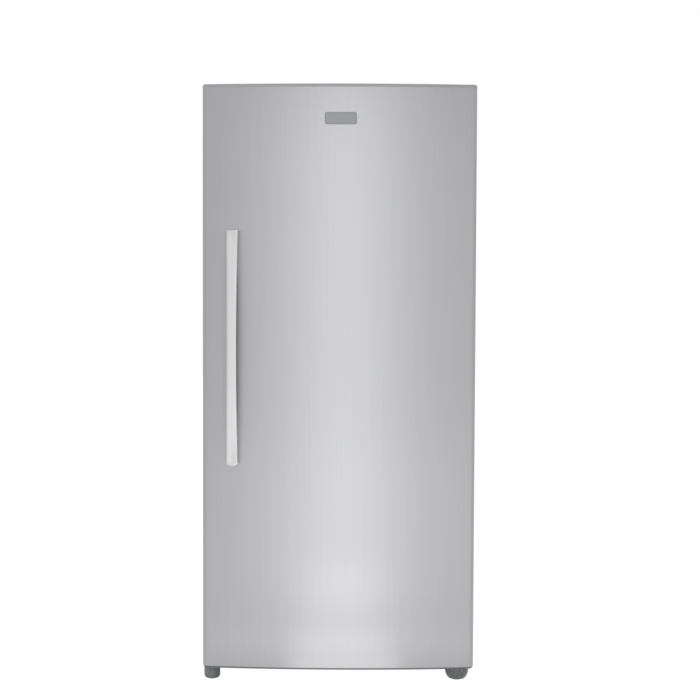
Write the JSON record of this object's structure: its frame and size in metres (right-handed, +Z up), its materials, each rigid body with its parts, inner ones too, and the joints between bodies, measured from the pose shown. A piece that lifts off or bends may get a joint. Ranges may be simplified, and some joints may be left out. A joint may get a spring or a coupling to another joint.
{
  "type": "refrigerator",
  "caption": "Tall free-standing refrigerator with one bowed steel door hinged on the right, a long bar handle on the left, glass shelves and drawers inside.",
  "frame": {"origin": "on the floor, under the middle of the whole outline", "axes": "+X to the right as seen from the front, the front faces -Y, +Z up"},
  "size_m": [0.832, 0.7208, 1.8375],
  "materials": {
    "stainless": "vertically brushed",
    "handle_aluminium": "satin",
    "case_paint": "fine textured, satin",
    "zinc_steel": "zinc coated, dull",
    "black_paint": "satin",
    "foam": "matte",
    "liner": "semi-gloss",
    "white_plastic": "satin",
    "grey_plastic": "satin",
    "black_plastic": "matte",
    "clear_plastic": "glossy, clear",
    "lamp_cover": "translucent",
    "tempered_glass": "polished",
    "soft_rubber": "matte",
    "copper": "dull",
    "coil_aluminium": "plain",
    "foot_plastic": "matte"
  },
  "bodies": {
    "cabinet": {"side_panel_left": "case_paint", "side_panel_right": "case_paint", "top_panel": "case_paint", "back_panel": "zinc_steel", "bottom_deck": "zinc_steel", "base_frame": "zinc_steel", "compressor_base_plate": "zinc_steel", "cabinet_foam": "foam", "inner_liner": "liner", "machine_cover": "zinc_steel", "compressor": "black_paint", "compressor_mounts": "soft_rubber", "relay_cover": "black_plastic", "condenser_coil": "black_paint", "condenser_fan_motor": "zinc_steel", "drain_pan": "black_plastic", "refrigerant_lines": "copper", "power_inlet": "black_plastic", "evaporator_coil": "coil_aluminium", "evaporator_fan_motor": "black_plastic", "drain_trough": "white_plastic", "air_duct_cover": "liner", "control_housing": "white_plastic", "light_lens": "lamp_cover", "door_switch": "white_plastic", "shelf_glass_1": "tempered_glass", "shelf_glass_2": "tempered_glass", "shelf_glass_3": "tempered_glass", "shelf_glass_4": "tempered_glass", "shelf_trims": "white_plastic", "crisper_cover_frame": "white_plastic", "crisper_cover_glass": "tempered_glass", "upper_hinge_bracket": "zinc_steel", "hinge_cover": "grey_plastic", "lower_hinge_bracket": "zinc_steel"},
    "door": {"door_outer_skin": "stainless", "door_foam": "foam", "door_liner": "liner", "door_top_cap": "grey_plastic", "door_bottom_cap": "grey_plastic", "door_gasket": "soft_rubber", "door_handle": "handle_aluminium", "handle_studs": "zinc_steel", "badge_plate": "stainless", "hinge_bushings": "white_plastic", "door_bin_1": "clear_plastic", "door_bin_2": "clear_plastic", "door_bin_3": "clear_plastic", "dairy_compartment": "clear_plastic"},
    "dairy_cover": {"dairy_lid": "clear_plastic"},
    "left_crisper": {"crisper_left": "clear_plastic"},
    "right_crisper": {"crisper_right": "clear_plastic"},
    "knob": {"temperature_knob": "grey_plastic"},
    "plunger": {"switch_plunger": "white_plastic"},
    "condenser_fan": {"condenser_fan_blade": "black_plastic"},
    "evaporator_fan": {"evaporator_fan_blade": "white_plastic"},
    "left_foot": {"leveling_foot_left": "foot_plastic"},
    "right_foot": {"leveling_foot_right": "foot_plastic"},
    "left_roller": {"rear_roller_left": "foot_plastic"},
    "right_roller": {"rear_roller_right": "foot_plastic"}
  },
  "joints": [
    {"name": "door_hinge", "type": "hinge", "parent": "cabinet", "child": "door", "pos_m": [0.399, -0.26961, 0], "axis": [0, 0, 1], "range_deg": [0, 130]},
    {"name": "left_crisper_slide", "type": "slide", "parent": "cabinet", "child": "left_crisper", "axis": [0, -1, 0], "range_m": [0, 0.2]},
    {"name": "right_crisper_slide", "type": "slide", "parent": "cabinet", "child": "right_crisper", "axis": [0, -1, 0], "range_m": [0, 0.2]},
    {"name": "plunger_slide", "type": "slide", "parent": "cabinet", "child": "plunger", "axis": [0, -1, 0], "range_m": [0, 0.008]},
    {"name": "dairy_lid_hinge", "type": "hinge", "parent": "door", "child": "dairy_cover", "pos_m": [0, -0.15161, 1.6], "axis": [1, 0, 0], "range_deg": [0, 95]},
    {"name": "knob_turn", "type": "hinge", "parent": "cabinet", "child": "knob", "pos_m": [-0.11, -0.12961, 1.739], "axis": [0, -1, 0], "range_deg": [-135, 135]},
    {"name": "condenser_fan_spin", "type": "hinge", "parent": "cabinet", "child": "condenser_fan", "pos_m": [-0.07, 0.26539, 0.142], "axis": [-1, 0, 0], "continuous": true},
    {"name": "evaporator_fan_spin", "type": "hinge", "parent": "cabinet", "child": "evaporator_fan", "pos_m": [0, 0.25939, 1.53], "axis": [0, -1, 0], "continuous": true},
    {"name": "left_foot_turn", "type": "hinge", "parent": "cabinet", "child": "left_foot", "pos_m": [-0.393, -0.20461, 0], "axis": [0, 0, 1], "continuous": true},
    {"name": "right_foot_turn", "type": "hinge", "parent": "cabinet", "child": "right_foot", "pos_m": [0.371, -0.20461, 0], "axis": [0, 0, 1], "continuous": true},
    {"name": "left_roller_spin", "type": "hinge", "parent": "cabinet", "child": "left_roller", "pos_m": [-0.35, 0.30039, 0.02], "axis": [1, 0, 0], "continuous": true},
    {"name": "right_roller_spin", "type": "hinge", "parent": "cabinet", "child": "right_roller", "pos_m": [0.35, 0.30039, 0.02], "axis": [1, 0, 0], "continuous": true}
  ],
  "couplings": [
    {"joint": "left_crisper_slide", "follows": "door_hinge", "m_per_rad": 0.088146},
    {"joint": "right_crisper_slide", "follows": "door_hinge", "m_per_rad": 0.088146},
    {"joint": "plunger_slide", "follows": "door_hinge", "m_per_rad": 0.003525}
  ]
}
